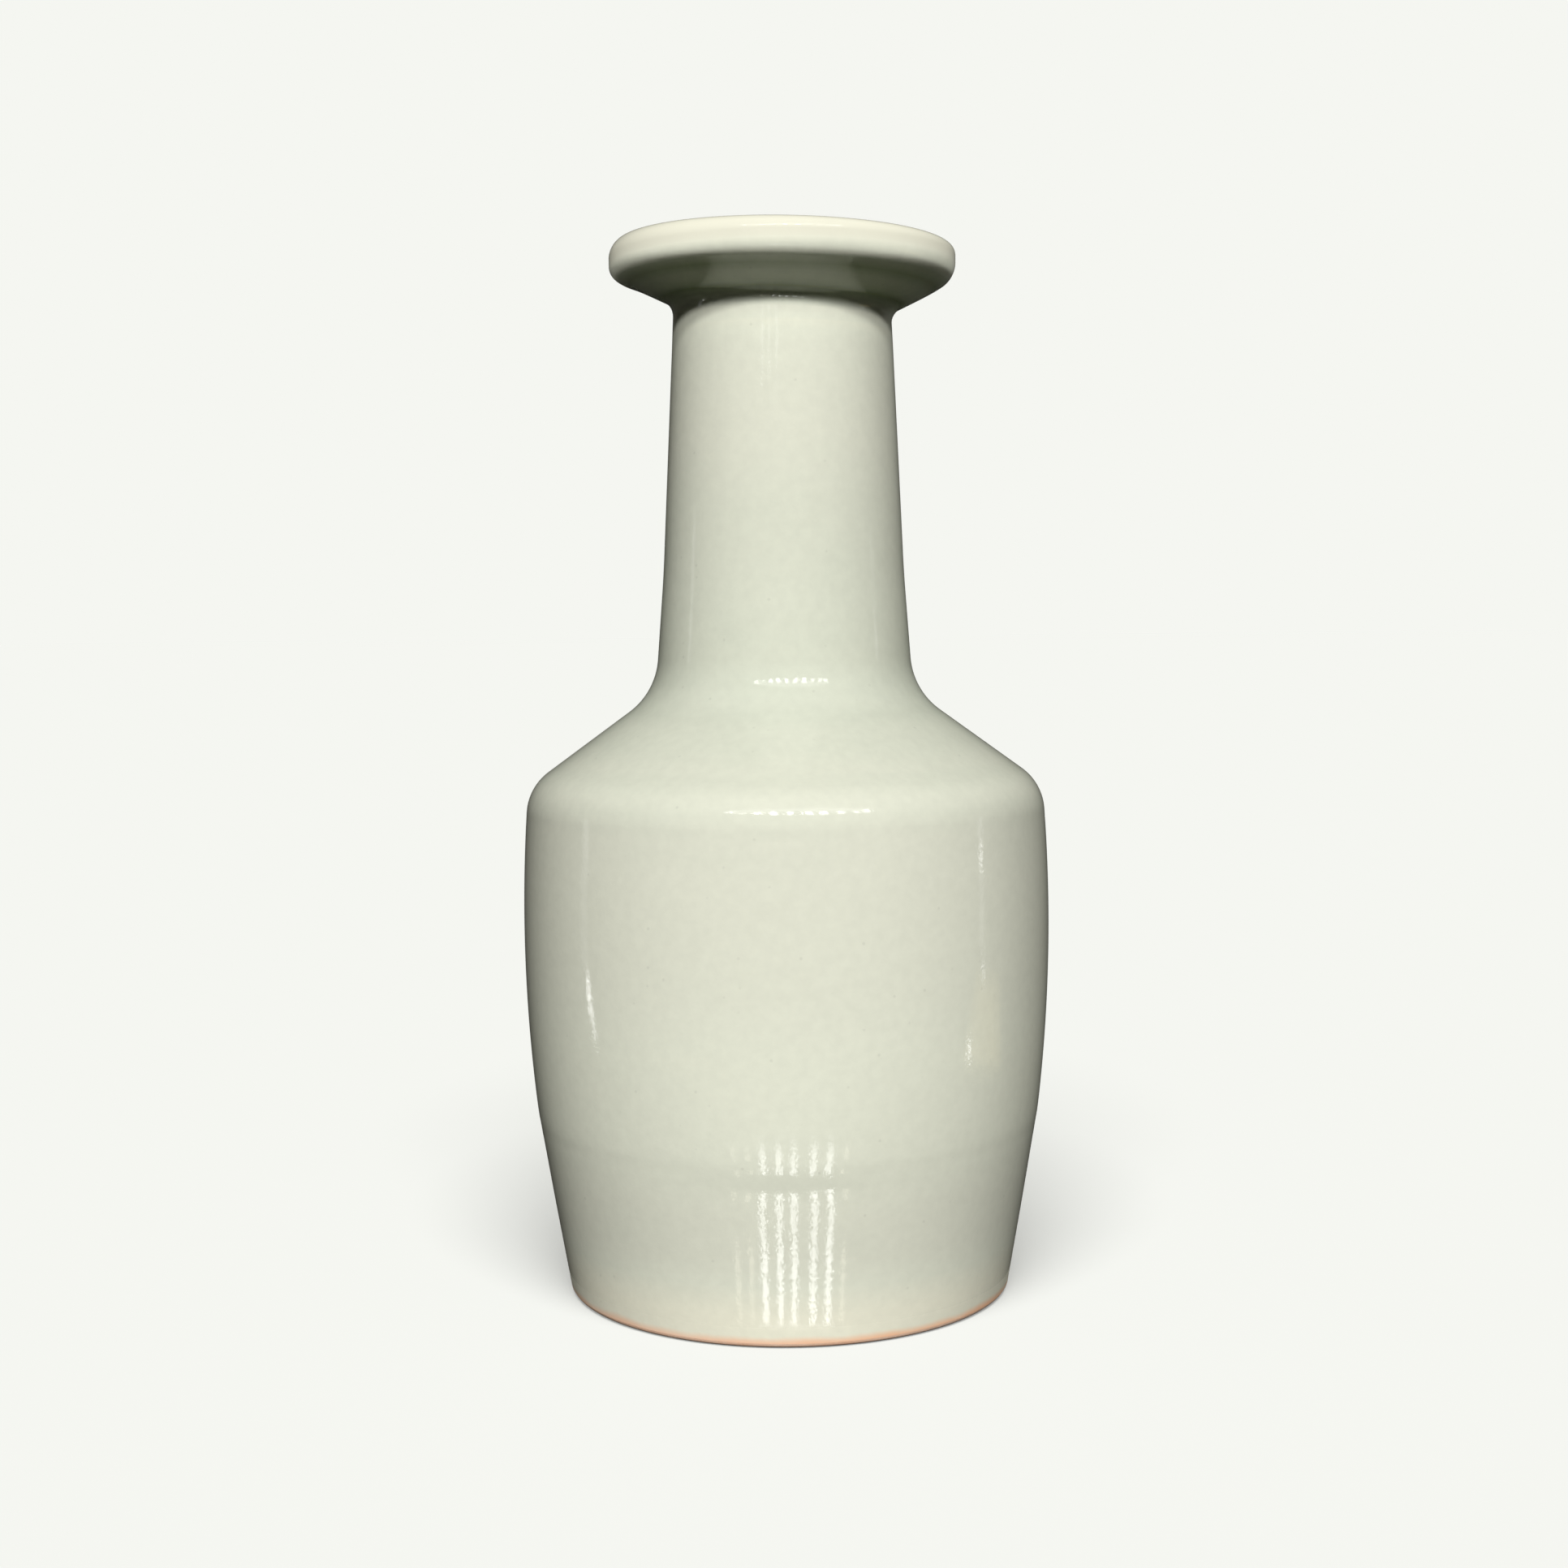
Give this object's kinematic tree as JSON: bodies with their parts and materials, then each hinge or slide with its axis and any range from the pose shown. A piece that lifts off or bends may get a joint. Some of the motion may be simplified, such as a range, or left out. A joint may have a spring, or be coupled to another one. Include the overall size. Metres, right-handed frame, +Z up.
{
  "type": "mallet vase",
  "caption": "Mallet vase in pale celadon glaze: straight body, sloping shoulder, tall tapering neck and dish mouth on a bare clay foot ring, for cut stems or display.",
  "frame": {"origin": "centre of the foot ring, on the table that the vase stands on", "axes": "+Z up along the axis that the vase was turned about, +X to the right as the picture shows it, +Y away from the viewer"},
  "size_m": [0.1265, 0.1264, 0.25],
  "materials": {
    "stoneware": "bare fired stoneware, fine grained, matt, orange where it meets the air",
    "slip": "fired slip, fine grained, matt",
    "glaze": "thick glossy celadon glaze, pale grey-green, with a fine ripple"
  },
  "bodies": {
    "root": {"lower_body": "stoneware", "base_disc": "stoneware", "base_luting": "slip", "belly_luting": "slip", "upper_body": "stoneware", "shoulder_luting": "slip", "shoulder": "stoneware", "neck_luting": "slip", "neck": "stoneware", "mouth_luting": "slip", "dish_mouth": "stoneware", "outer_glaze": "glaze", "inner_glaze": "glaze", "base_glaze": "glaze"}
  },
  "joints": []
}
